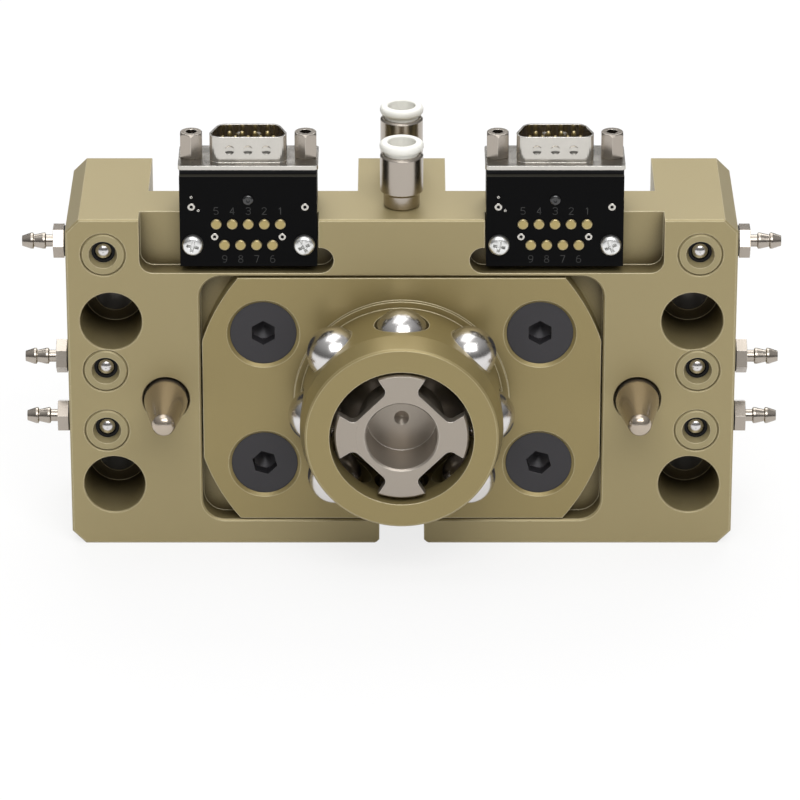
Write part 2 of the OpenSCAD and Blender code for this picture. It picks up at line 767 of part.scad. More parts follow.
module retaining_ring() {
    outer = cover_d / 2 + ring_deep - seat_clear;
    lug_r = 2.2;
    eye_r = 0.9;
    color(spring_steel) toward_robot(0, ring_front, 0) linear_extrude(ring_t) difference() {
        union() {
            difference() {
                circle(outer);
                circle(outer - ring_w);
                rotate(90) translate([0, -ring_w]) square([cover_d, 2 * ring_w]);
            }
            for (side = [-1, 1]) translate([side * (ring_w + lug_r / 2), outer - ring_w - lug_r / 2])
                circle(lug_r);
        }
        for (side = [-1, 1]) translate([side * (ring_w + lug_r / 2), outer - ring_w - lug_r / 2])
            circle(eye_r);
    }
}

module cover_seal() {
    color(rubber) toward_robot(0, cover_seal_y, 0)
        ring_of_section(cover_d / 2 - seal_section / 2 - seat_clear, seal_section);
}

module piston_seal() {
    color(rubber) toward_robot(0, piston_seal_y, 0)
        ring_of_section(cylinder_d / 2 - seal_section / 2 - seat_clear, seal_section);
}

module rod_seal() {
    color(rubber) toward_robot(0, rod_seal_y, 0)
        ring_of_section(rod_seal_r, seal_section - seat_clear);
}

/* ---- cam piston and balls ---- */

function cam_profile() = [
    [0, head_back], [head_d / 2 - edge_break, head_back], [head_d / 2, head_back + edge_break],
    [head_d / 2, head_back + head_t], [neck_d / 2, head_back + head_t],
    [neck_d / 2, cone_front], [rod_d / 2, cone_back],
    [rod_d / 2, piston_front - nose_front],
    [cylinder_d / 2 - piston_clear - piston_step, piston_front - nose_front],
    [cylinder_d / 2 - piston_clear, piston_front + piston_step - nose_front],
    [cylinder_d / 2 - piston_clear, piston_back - nose_front],
    [rod_d / 2, piston_back - nose_front], [rod_d / 2 - edge_break, piston_back - nose_front - piston_hollow],
    [stop_d / 2 + stop_clear, piston_back - nose_front - piston_hollow],
    [stop_d / 2 + stop_clear, piston_back - nose_front], [0, piston_back - nose_front]
];

// One of the four notches that leave a cross-shaped cam head, drawn toward +X.
module head_notch() {
    reach = head_d / 2 + cut;
    spread = (notch_half_out - notch_half_in) / (head_d / 2 - notch_flat);
    out = notch_half_in + spread * (reach - notch_flat);
    corner = notch_flat + notch_r;
    polygon([[corner, -notch_half_in], [reach, -out], [reach, out], [corner, notch_half_in]]);
    translate([notch_flat, -notch_half_in + notch_r]) square([notch_r + cut, 2 * (notch_half_in - notch_r)]);
    for (side = [-1, 1]) translate([corner, side * (notch_half_in - notch_r)]) circle(notch_r);
}

module cam_piston() {
    floor_back = head_back + centre_bore_deep;
    groove = cylinder_d / 2 - seal_section - 2 * seat_clear;
    color(steel) difference() {
        turned(cam_profile(), 0, nose_front, 0);
        plate(nose_front + head_back - cut, head_t + 2 * cut)
            for (i = [0 : 3]) rotate(45 + 90 * i) head_notch();
        turned([[0, 0], [centre_bore_d / 2 + edge_break + cut, head_back - cut],
                [centre_bore_d / 2, head_back + edge_break], [centre_bore_d / 2, floor_back],
                [turning_centre_d / 2, floor_back], [0, floor_back + turning_centre_deep]],
               0, nose_front, 0);
        turned([[groove, -seal_section / 2 - seat_clear], [cylinder_d, -seal_section / 2 - seat_clear],
                [cylinder_d, seal_section / 2 + seat_clear], [groove, seal_section / 2 + seat_clear]],
               0, piston_seal_y, 0);
    }
}

// Every second ball lies on a diagonal and has rolled out to the lip of its hole.
module lock_ball(i) {
    reach = i % 2 == 0 ? ball_locked : ball_at_lip;
    color(chrome) at_ball(i) translate([0, 0, reach]) sphere(d = ball_d);
}

/* ---- guide pins ---- */

module guide_pin(side) {
    well = frame_front + guide_well_deep;
    tip_r = guide_tip_d / 2;
    tip = frame_front - guide_len;
    color(steel) turned([
        [0, tip], [tip_r - tip_round, tip],
        for (a = [10 : 10 : 80]) [tip_r - tip_round * (1 - sin(a)), tip + tip_round * (1 - cos(a))],
        [tip_r, tip + tip_round],
        [guide_d / 2, frame_front - guide_land], [guide_d / 2, frame_front],
        [guide_root_d / 2, frame_front], [guide_root_d / 2, well],
        [guide_shank_d / 2, well], [guide_shank_d / 2, well + guide_shank_len],
        [0, well + guide_shank_len]
    ], side * guide_x, 0, 0);
}

/* ---- air ports, poppets and hose barbs ---- */

module port_insert() {
    groove_back = port_seal_front + port_seal_t + 2 * seat_clear;
    difference() {
        rotate_extrude() polygon([
            [port_mouth_d / 2, 0], [port_d / 2 - edge_break, 0],
            [port_d / 2, edge_break], [port_d / 2, port_len],
            [port_chamber_d / 2, port_len], [port_chamber_d / 2, port_seat_deep],
            [port_throat_d / 2, port_seat_deep], [port_throat_d / 2, groove_back],
            [port_groove_d / 2, groove_back], [port_groove_d / 2, port_seal_front],
            [port_throat_d / 2, port_seal_front], [port_throat_d / 2, port_funnel]
        ]);
        translate([0, 0, barb_back]) rotate([0, 90, 0]) cylinder(d = barb_bore_d, h = port_d);
    }
}

module port_inserts(side) {
    color(olive) mirror([side < 0 ? 1 : 0, 0, 0])
        for (z = port_zs) toward_robot(port_x, frame_front, z) port_insert();
}

// Rubber rings behind the funnels, bevelled inside to lie round the ball tips.
module port_seals() {
    centre = poppet_back + poppet_tip_d / 2;
    r = poppet_tip_d / 2 + port_seal_gap;
    front = port_seal_front + seat_clear;
    back = front + port_seal_t;
    outer = port_groove_d / 2 - seat_clear;
    color(rubber) both_sides() for (z = port_zs) toward_robot(port_x, frame_front, z)
        rotate_extrude() polygon([
            [sqrt(r * r - pow(centre - front, 2)) + seat_clear, front], [outer, front],
            [outer, back], [sqrt(r * r - pow(centre - back, 2)) + seat_clear, back]
        ]);
}

module poppet(side, z) {
    tip_r = poppet_tip_d / 2;
    shoulder = port_seat_deep + seat_clear;
    shoulder_r = poppet_shoulder_d / 2;
    color(chrome) toward_robot(side * port_x, frame_front, z) {
        translate([0, 0, poppet_back + tip_r]) sphere(tip_r);
        translate([0, 0, poppet_back + tip_r]) cylinder(r = tip_r, h = shoulder - poppet_back - tip_r + cut / 2);
        translate([0, 0, shoulder]) cylinder(r = shoulder_r, h = poppet_shoulder_t);
        translate([0, 0, shoulder]) cylinder(d = poppet_stem_d, h = poppet_shoulder_t + poppet_stem_len);
    }
}

// Compression spring drawn as open rings joined by short lengths of wire.
module poppet_spring(side, z) {
    mean_r = (poppet_stem_d + port_chamber_d) / 4;
    free = spring_back - spring_front;
    pitch = (free - spring_wire) / (spring_coils - 1);
    color(spring_steel) toward_robot(side * port_x, spring_front, z) {
        for (i = [0 : spring_coils - 1]) translate([0, 0, spring_wire / 2 + i * pitch])
            ring_of_section(mean_r, spring_wire);
        for (i = [0 : spring_coils - 2]) rotate(180 * i) translate([mean_r, 0, spring_wire / 2 + i * pitch])
            cylinder(d = spring_wire * 0.8, h = pitch);
    }
}

module hose_barb() {
    base = gasket_t;
    spigot = base + barb_hex_t;
    ridge = barb_len / 3;
    root = barb_root_d / 2;
    crest = barb_ridge_d / 2;
    difference() {
        union() {
            translate([0, 0, base]) cylinder(r = barb_hex / sqrt(3), h = barb_hex_t, $fn = 6);
            rotate_extrude() polygon([
                [0, -barb_thread_len], [barb_thread_d / 2, -barb_thread_len],
                [barb_thread_d / 2, spigot - cut], [root, spigot - cut],
                [root, spigot + ridge * 0.7], [crest, spigot + ridge * 0.8],
                [crest, spigot + ridge], [root, spigot + 1.85 * ridge],
                [crest, spigot + 1.95 * ridge], [crest, spigot + 2.15 * ridge],
                [root - 0.2, spigot + barb_len], [0, spigot + barb_len]
            ]);
        }
        translate([0, 0, -barb_thread_len - cut]) cylinder(d = barb_bore_d, h = frame_w);
    }
}

// Runs children along the side face, one at each air port, pointing outward.
module at_barbs(side) {
    mirror([side < 0 ? 1 : 0, 0, 0]) for (i = [0 : len(port_zs) - 1])
        translate([frame_w / 2, barb_y, port_zs[i]]) rotate([0, 90, 0]) rotate(30 + 20 * i) children();
}

module hose_barbs(side) {
    color(nickel) at_barbs(side) hose_barb();
}

module barb_gaskets(side) {
    color(rubber) at_barbs(side) difference() {
        cylinder(d = gasket_d, h = gasket_t);
        translate([0, 0, -cut]) cylinder(r = barb_thread_d / 2 + seat_clear, h = gasket_t + 2 * cut);
    }
}

/* ---- tube fittings ---- */

// Turned body of a push-in fitting, drawn upward from the frame top.
module tube_fitting(y) {
    top = fitting_base_h + fitting_h;
    tube_r = tube_d / 2 + tube_clear;
    well = top - sleeve_well;
    color(nickel) translate([0, y, frame_top]) rotate_extrude() polygon([
        [passage_d / 2, -fitting_thread_len], [fitting_thread_d / 2, -fitting_thread_len],
        [fitting_thread_d / 2, 0], [fitting_base_d / 2 - edge_break, 0],
        [fitting_base_d / 2, edge_break], [fitting_base_d / 2, fitting_base_h],
        [fitting_d / 2 - fitting_chamfer, fitting_base_h], [fitting_d / 2, fitting_base_h + fitting_chamfer],
        [fitting_d / 2, top - edge_break], [fitting_d / 2 - edge_break, top],
        [sleeve_r + seat_clear, top], [sleeve_r + seat_clear, well - tube_seal_well],
        [tube_r, well - tube_seal_well], [tube_r, fitting_base_h / 2], [passage_d / 2, fitting_base_h / 2]
    ]);
}

module release_collar(y) {
    low = -release_gap - release_sleeve_in;
    bore_r = tube_d / 2 + tube_clear;
    rim_r = release_d / 2 - release_round;
    color(white) translate([0, y, fitting_top + release_gap]) rotate_extrude() polygon([
        [bore_r, low], [sleeve_r, low], [sleeve_r, 0],
        for (a = [-90 : 15 : 0]) [rim_r + release_round * cos(a), release_round * (1 + sin(a))],
        for (a = [0 : 15 : 90]) [rim_r + release_round * cos(a), release_t - release_round * (1 - sin(a))],
        [bore_r + edge_break / 2, release_t], [bore_r, release_t - edge_break / 2]
    ]);
}

module tube_seals() {
    color(rubber) for (y = fitting_ys) translate([0, y, fitting_top - sleeve_well - tube_seal_well / 2])
        ring_of_section(tube_seal_r, tube_seal_section);
}

/* ---- connector modules ---- */

module at_module(side) {
    translate([side * module_x, 0, 0]) children();
}

module board_screw_bores(r) {
    for (sx = [-1, 1]) toward_robot(sx * board_screw_x, frame_front - cut, board_screw_z)
        cylinder(r = r, h = pocket_deep + 2 * cut);
}

module contact_board(side) {
    color(black) at_module(side) difference() {
        translate([-board_w / 2, frame_front, board_low])
            cube([board_w, board_t, plug_low - board_below - board_low]);
        board_screw_bores(board_screw_d / 2 + screw_clear);
        pad_places() toward_robot(0, frame_front - cut, 0) cylinder(r = pad_shank_r, h = board_t + 2 * cut);
    }
}

// Repeats children at each pad: five above, four below.
module pad_places() {
    for (i = [-2 : 2]) translate([i * pad_pitch, 0, pad_row_up]) children();
    for (i = [-1.5 : 1.5]) translate([i * pad_pitch, 0, pad_row_low]) children();
}

module contact_pads(side) {
    shank_r = pad_shank_r - seat_clear / 2;
    color(gold) at_module(side) pad_places() turned([
        [0, -pad_h], [pad_d / 2 - pad_h / 2, -pad_h], [pad_d / 2, -pad_h / 2], [pad_d / 2, 0],
        [shank_r, 0], [shank_r, board_t], [0, board_t]
    ], 0, frame_front, 0);
}

module connector_housing(side) {
    housing_back = plug_y + plug_flange_deep / 2;
    color(black) at_module(side) difference() {
        union() {
            translate([-housing_w / 2, board_back, board_low])
                cube([housing_w, pocket_back - board_back, plug_low - board_low]);
            translate([-housing_w / 2, board_back, frame_top])
                cube([housing_w, housing_back - board_back, plug_low - frame_top]);
        }
        board_screw_bores(board_screw_d / 2 + screw_clear);
        for (sx = [-1, 1]) translate([sx * jack_pitch / 2, plug_y, plug_low - jack_h])
            cylinder(r = jack_thread_d / 2 + seat_clear, h = jack_h + cut);
    }
}

// D-shaped outline with rounded corners; the wide side faces the tool.
module shell_outline(inset) {
    half = shell_w / 2 - inset;
    deep = shell_deep - 2 * inset;
    r = shell_r - inset;
    back_half = half - deep * tan(shell_angle);
    hull() {
        for (sx = [-1, 1]) {
            translate([sx * (half - r), -deep / 2 + r]) circle(r, $fn = 32);
            translate([sx * (back_half - r * 0.9), deep / 2 - r]) circle(r, $fn = 32);
        }
    }
}

// Centres of the spheres that dimple the shell: three toward the tool, two toward the robot.
module dimple_places() {
    off = shell_deep / 2 + dimple_r - dimple_deep;
    for (i = [-1 : 1]) translate([i * dimple_pitch, -off, dimple_z]) children();
    for (i = [-0.5, 0.5]) translate([i * dimple_pitch, off, dimple_z]) children();
}

module connector_shell(side) {
    color(tin) at_module(side) translate([0, plug_y, plug_low]) difference() {
        union() {
            linear_extrude(plug_flange_t) rounded_rect(plug_flange_w, plug_flange_deep, 1);
            difference() {
                linear_extrude(plug_flange_t + shell_h) shell_outline(0);
                linear_extrude(plug_flange_t + shell_h + cut) shell_outline(shell_wall);
            }
            intersection() {
                linear_extrude(plug_flange_t + shell_h) shell_outline(shell_wall / 2);
                dimple_places() sphere(dimple_r + shell_wall);
            }
        }
        dimple_places() sphere(dimple_r);
        translate([0, 0, -cut]) linear_extrude(plug_flange_t + cut) shell_outline(shell_wall);
        for (sx = [-1, 1]) translate([sx * jack_pitch / 2, 0, -cut])
            cylinder(r = jack_thread_d / 2 + seat_clear, h = plug_flange_t + 2 * cut);
    }
}

module pin_places() {
    for (i = [-2 : 2]) translate([i * pin_pitch, -pin_rows / 2, 0]) children();
    for (i = [-1.5 : 1.5]) translate([i * pin_pitch, pin_rows / 2, 0]) children();
}

module connector_insulator(side) {
    color(brown) at_module(side) translate([0, plug_y, plug_low]) difference() {
        linear_extrude(plug_flange_t + insulator_h) shell_outline(shell_wall + seat_clear);
        pin_places() translate([0, 0, -cut]) cylinder(r = pin_d / 2 + seat_clear, h = shell_h);
    }
}

module connector_pins(side) {
    tip = plug_flange_t + shell_h - pin_below_rim;
    r = pin_d / 2;
    color(gold) at_module(side) translate([0, plug_y, plug_low]) pin_places() rotate_extrude() polygon([
        [0, 0], [r, 0], [r, tip - r], [r * 0.75, tip - r * 0.3], [r * 0.4, tip], [0, tip]
    ]);
}

module jack_screws(side) {
    thread_r = jack_thread_d / 2;
    corner_r = jack_hex / sqrt(3) + seat_clear / 2;
    color(nickel) at_module(side) for (sx = [-1, 1]) translate([sx * jack_pitch / 2, plug_y, plug_top]) {
        difference() {
            union() {
                intersection() {
                    rotate(30) cylinder(r = jack_hex / sqrt(3), h = jack_h, $fn = 6);
                    rotate_extrude() polygon([
                        [0, 0], [corner_r - jack_bevel, 0], [corner_r, jack_bevel / 2],
                        [corner_r, jack_h - jack_bevel], [corner_r - jack_bevel, jack_h], [0, jack_h]
                    ]);
                }
                translate([0, 0, -plug_flange_t - jack_h / 2]) cylinder(r = thread_r, h = jack_h);
            }
            translate([0, 0, jack_h / 3]) cylinder(r = thread_r * 0.85, h = jack_h);
        }
    }
}

module board_screws(side) {
    head_r = board_head_d / 2;
    r = board_screw_d / 2;
    color(nickel) at_module(side) for (sx = [-1, 1]) turned([
        [0, -board_head_h], [head_r * 0.55, -board_head_h], [head_r * 0.85, -board_head_h * 0.8],
        [head_r, -board_head_h * 0.4], [head_r, 0], [r, 0], [r, board_screw_len], [0, board_screw_len]
    ], sx * board_screw_x, frame_front, board_screw_z);
}

frame_body();
master_housing();
housing_screws();
cam_piston();
rear_cover();
retaining_ring();
cover_seal();
piston_seal();
rod_seal();
lock_ball(1);  // lock_ball_1
lock_ball(2);  // lock_ball_2
lock_ball(3);  // lock_ball_3
lock_ball(4);  // lock_ball_4
lock_ball(5);  // lock_ball_5
lock_ball(6);  // lock_ball_6
lock_ball(7);  // lock_ball_7
lock_ball(8);  // lock_ball_8
guide_pin(-1);  // guide_pin_left
guide_pin(1);  // guide_pin_right
port_inserts(-1);  // port_inserts_left
port_inserts(1);  // port_inserts_right
port_seals();
poppet(-1, port_top_z);  // poppet_left_top
poppet(-1, port_mid_z);  // poppet_left_mid
poppet(-1, port_low_z);  // poppet_left_low
poppet(1, port_top_z);  // poppet_right_top
poppet(1, port_mid_z);  // poppet_right_mid
poppet(1, port_low_z);  // poppet_right_low
poppet_spring(-1, port_top_z);  // poppet_spring_left_top
poppet_spring(-1, port_mid_z);  // poppet_spring_left_mid
poppet_spring(-1, port_low_z);  // poppet_spring_left_low
poppet_spring(1, port_top_z);  // poppet_spring_right_top
poppet_spring(1, port_mid_z);  // poppet_spring_right_mid
poppet_spring(1, port_low_z);  // poppet_spring_right_low
hose_barbs(-1);  // hose_barbs_left
hose_barbs(1);  // hose_barbs_right
barb_gaskets(-1);  // barb_gaskets_left
barb_gaskets(1);  // barb_gaskets_right
tube_fitting(fitting_ys[1]);  // lock_fitting
tube_fitting(fitting_ys[0]);  // unlock_fitting
release_collar(fitting_ys[1]);  // lock_collar
release_collar(fitting_ys[0]);  // unlock_collar
tube_seals();
contact_board(-1);  // contact_board_left
contact_board(1);  // contact_board_right
contact_pads(-1);  // contact_pads_left
contact_pads(1);  // contact_pads_right
connector_housing(-1);  // connector_housing_left
connector_housing(1);  // connector_housing_right
connector_shell(-1);  // connector_shell_left
connector_shell(1);  // connector_shell_right
connector_insulator(-1);  // connector_insulator_left
connector_insulator(1);  // connector_insulator_right
connector_pins(-1);  // connector_pins_left
connector_pins(1);  // connector_pins_right
jack_screws(-1);  // jack_screws_left
jack_screws(1);  // jack_screws_right
board_screws(-1);  // board_screws_left
board_screws(1);  // board_screws_right
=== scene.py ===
import bpy
import bmesh
import json
import math
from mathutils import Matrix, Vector


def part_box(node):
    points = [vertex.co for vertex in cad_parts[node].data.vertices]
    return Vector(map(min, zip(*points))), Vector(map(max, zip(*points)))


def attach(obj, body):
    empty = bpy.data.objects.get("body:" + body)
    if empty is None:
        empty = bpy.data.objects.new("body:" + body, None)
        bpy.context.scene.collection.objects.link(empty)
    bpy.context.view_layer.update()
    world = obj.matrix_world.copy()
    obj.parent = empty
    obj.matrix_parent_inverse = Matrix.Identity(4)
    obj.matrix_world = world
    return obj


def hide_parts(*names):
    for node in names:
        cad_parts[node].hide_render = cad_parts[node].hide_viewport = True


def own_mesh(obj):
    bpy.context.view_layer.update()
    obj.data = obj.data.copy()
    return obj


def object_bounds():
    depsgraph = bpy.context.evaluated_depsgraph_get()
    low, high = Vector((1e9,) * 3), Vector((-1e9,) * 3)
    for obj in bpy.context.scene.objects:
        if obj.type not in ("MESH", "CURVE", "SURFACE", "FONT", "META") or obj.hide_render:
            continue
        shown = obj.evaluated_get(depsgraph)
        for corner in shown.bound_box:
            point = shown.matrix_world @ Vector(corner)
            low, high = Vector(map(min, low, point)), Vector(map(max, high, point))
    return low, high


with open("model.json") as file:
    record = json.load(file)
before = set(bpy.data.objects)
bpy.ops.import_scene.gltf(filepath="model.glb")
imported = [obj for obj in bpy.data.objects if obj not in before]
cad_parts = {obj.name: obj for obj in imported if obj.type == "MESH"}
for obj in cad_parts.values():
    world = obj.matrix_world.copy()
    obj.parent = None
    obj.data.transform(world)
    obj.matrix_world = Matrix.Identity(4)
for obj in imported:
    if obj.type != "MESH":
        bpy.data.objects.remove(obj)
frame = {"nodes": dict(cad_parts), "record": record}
cad_box = [list(corner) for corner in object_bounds()]
nodes = frame["nodes"]
SIDES = ("left", "right")


# ---- shared surface effects ----

def effect_group(name, inputs, outputs):
    """Node group with named sockets, and the nodes where its inputs start and its outputs end."""
    group = bpy.data.node_groups.new(name, "ShaderNodeTree")
    for title, kind, value in inputs:
        socket = group.interface.new_socket(name=title, in_out="INPUT", socket_type=kind)
        if value is not None:
            socket.default_value = value
    for title, kind in outputs:
        group.interface.new_socket(name=title, in_out="OUTPUT", socket_type=kind)
    start = group.nodes.new("NodeGroupInput")
    end = group.nodes.new("NodeGroupOutput")
    return group, start, end


def math_node(tree, operation, a, b=None, clamp=False):
    """Result of one sum; a and b are numbers or other nodes' outputs."""
    node = tree.nodes.new("ShaderNodeMath")
    node.operation = operation
    node.use_clamp = clamp
    for socket, value in zip(node.inputs, (a, b)):
        if value is None:
            continue
        if isinstance(value, (int, float)):
            socket.default_value = value
        else:
            tree.links.new(value, socket)
    return node.outputs[0]


# A mix node lists its sockets for numbers and vectors before those for colours.
MIX_COLOUR_A = 6
MIX_COLOUR_B = 7
MIX_COLOUR_RESULT = 2


def mix_colour(tree, factor, a, b):
    """Colour that goes from a to b as the factor goes from 0 to 1."""
    node = tree.nodes.new("ShaderNodeMix")
    node.data_type = "RGBA"
    for key, value in (("Factor", factor), (MIX_COLOUR_A, a), (MIX_COLOUR_B, b)):
        socket = node.inputs[key]
        if isinstance(value, (int, float, tuple)):
            socket.default_value = value
        else:
            tree.links.new(value, socket)
    return node.outputs[MIX_COLOUR_RESULT]


def noise(tree, vector, scale, detail, roughness):
    node = tree.nodes.new("ShaderNodeTexNoise")
    node.inputs["Detail"].default_value = detail
    node.inputs["Roughness"].default_value = roughness
    tree.links.new(vector, node.inputs["Vector"])
    tree.links.new(scale, node.inputs["Scale"])
    return node.outputs["Fac"]


def make_fine_grain():
    """Even grain of a blasted, cast or ground surface, with slow tone changes across it."""
    group, start, end = effect_group(
        "fine_grain",
        [("Position", "NodeSocketVector", None), ("Grain per metre", "NodeSocketFloat", 1800.0),
         ("Tone per metre", "NodeSocketFloat", 60.0), ("Colour", "NodeSocketColor", (0.5, 0.5, 0.5, 1)),
         ("Tone change", "NodeSocketFloat", 0.05), ("Roughness", "NodeSocketFloat", 0.4),
         ("Roughness change", "NodeSocketFloat", 0.08)],
        [("Colour", "NodeSocketColor"), ("Roughness", "NodeSocketFloat"), ("Height", "NodeSocketFloat")])
    place = start.outputs["Position"]
    grain = noise(group, place, start.outputs["Grain per metre"], detail=3.0, roughness=0.6)
    tone = noise(group, place, start.outputs["Tone per metre"], detail=3.0, roughness=0.55)
    slow_part = math_node(group, "MULTIPLY", tone, 0.7)
    fine_part = math_node(group, "MULTIPLY", grain, 0.3)
    both = math_node(group, "ADD", slow_part, fine_part)
    centred = math_node(group, "SUBTRACT", both, 0.5)
    change = math_node(group, "MULTIPLY", centred, start.outputs["Tone change"])
    gain = math_node(group, "ADD", change, 1.0)
    scale = group.nodes.new("ShaderNodeVectorMath")
    scale.operation = "SCALE"
    group.links.new(start.outputs["Colour"], scale.inputs[0])
    group.links.new(gain, scale.inputs["Scale"])
    group.links.new(scale.outputs[0], end.inputs["Colour"])
    uneven = math_node(group, "MULTIPLY", centred, start.outputs["Roughness change"])
    rough = math_node(group, "ADD", uneven, start.outputs["Roughness"], clamp=True)
    group.links.new(rough, end.inputs["Roughness"])
    group.links.new(grain, end.inputs["Height"])
    return group


def make_painted_edge_highlight():
    """Mask of the edges of a piece, where a highlight is painted into the colour, from how far a rounded
    normal leans away from the flat one.
    """
    group, start, end = effect_group(
        "painted_edge_highlight",
        [("Edge radius", "NodeSocketFloat", 0.0003), ("Gain", "NodeSocketFloat", 3.0)],
        [("Edge", "NodeSocketFloat"), ("Normal", "NodeSocketVector")])
    bevel = group.nodes.new("ShaderNodeBevel")
    bevel.samples = 6
    group.links.new(start.outputs["Edge radius"], bevel.inputs["Radius"])
    flat = group.nodes.new("ShaderNodeNewGeometry")
    lean = group.nodes.new("ShaderNodeVectorMath")
    lean.operation = "DOT_PRODUCT"
    group.links.new(bevel.outputs["Normal"], lean.inputs[0])
    group.links.new(flat.outputs["Normal"], lean.inputs[1])
    away = math_node(group, "SUBTRACT", 1.0, lean.outputs["Value"], clamp=True)
    mask = math_node(group, "MULTIPLY", away, start.outputs["Gain"], clamp=True)
    group.links.new(mask, end.inputs["Edge"])
    group.links.new(bevel.outputs["Normal"], end.inputs["Normal"])
    return group


def make_turned_marks():
    """Fine rings left by a lathe tool, measured outward from an axis that runs front to back."""
    group, start, end = effect_group(
        "turned_marks",
        [("Position", "NodeSocketVector", None), ("Centre", "NodeSocketVector", (0, 0, 0)),
         ("Rings per metre", "NodeSocketFloat", 2500.0)],
        [("Rings", "NodeSocketFloat")])
    offset = group.nodes.new("ShaderNodeVectorMath")
    offset.operation = "SUBTRACT"
    group.links.new(start.outputs["Position"], offset.inputs[0])
    group.links.new(start.outputs["Centre"], offset.inputs[1])
    flatten = group.nodes.new("ShaderNodeVectorMath")
    flatten.operation = "MULTIPLY"
    flatten.inputs[1].default_value = (1, 0, 1)
    group.links.new(offset.outputs[0], flatten.inputs[0])
    length = group.nodes.new("ShaderNodeVectorMath")
    length.operation = "LENGTH"
    group.links.new(flatten.outputs[0], length.inputs[0])
    depth = group.nodes.new("ShaderNodeSeparateXYZ")
    group.links.new(offset.outputs[0], depth.inputs[0])
    along = math_node(group, "ADD", length.outputs["Value"], depth.outputs["Y"])
    rings = group.nodes.new("ShaderNodeTexNoise")
    rings.noise_dimensions = "1D"
    rings.inputs["Detail"].default_value = 2.0
    rings.inputs["Scale"].default_value = 1.0
    counted = math_node(group, "MULTIPLY", along, start.outputs["Rings per metre"])
    group.links.new(counted, rings.inputs["W"])
    group.links.new(rings.outputs["Fac"], end.inputs["Rings"])
    return group


def make_painted_recess_shade():
    """Mask of bores and inner corners, where shade is painted into the colour: the less open sky, the more.

    It grows from none where the share of open sky is Open to full where it is Closed.
    """
    group, start, end = effect_group(
        "painted_recess_shade",
        [("Reach", "NodeSocketFloat", 0.012), ("Open", "NodeSocketFloat", 0.80),
         ("Closed", "NodeSocketFloat", 0.34)],
        [("Recess", "NodeSocketFloat")])
    shelter = group.nodes.new("ShaderNodeAmbientOcclusion")
    shelter.samples = 6
    shelter.only_local = True      # the floor and the other pieces don't count
    group.links.new(start.outputs["Reach"], shelter.inputs["Distance"])
    span = math_node(group, "SUBTRACT", start.outputs["Open"], start.outputs["Closed"])
    below = math_node(group, "SUBTRACT", start.outputs["Open"], shelter.outputs["AO"])
    mask = math_node(group, "DIVIDE", below, span, clamp=True)
    group.links.new(mask, end.inputs["Recess"])
    return group


FINE_GRAIN = make_fine_grain()
PAINTED_EDGE_HIGHLIGHT = make_painted_edge_highlight()
PAINTED_RECESS_SHADE = make_painted_recess_shade()
TURNED_MARKS = make_turned_marks()


# ---- materials ----

def place_group(tree, group, **values):
    """A group in a material, with its own values; an underscore stands for a space in a socket's name."""
    node = tree.nodes.new("ShaderNodeGroup")
    node.node_tree = group
    for name, value in values.items():
        socket = node.inputs[name.replace("_", " ")]
        if isinstance(value, (int, float, tuple)):
            socket.default_value = value
        else:
            tree.links.new(value, socket)
    return node


BUMP_DISTANCE = 0.001      # what a depth of 1 stands for, in metres
SIDE_LEAN = 0.5            # a face that looks to the front or back less than this is a side


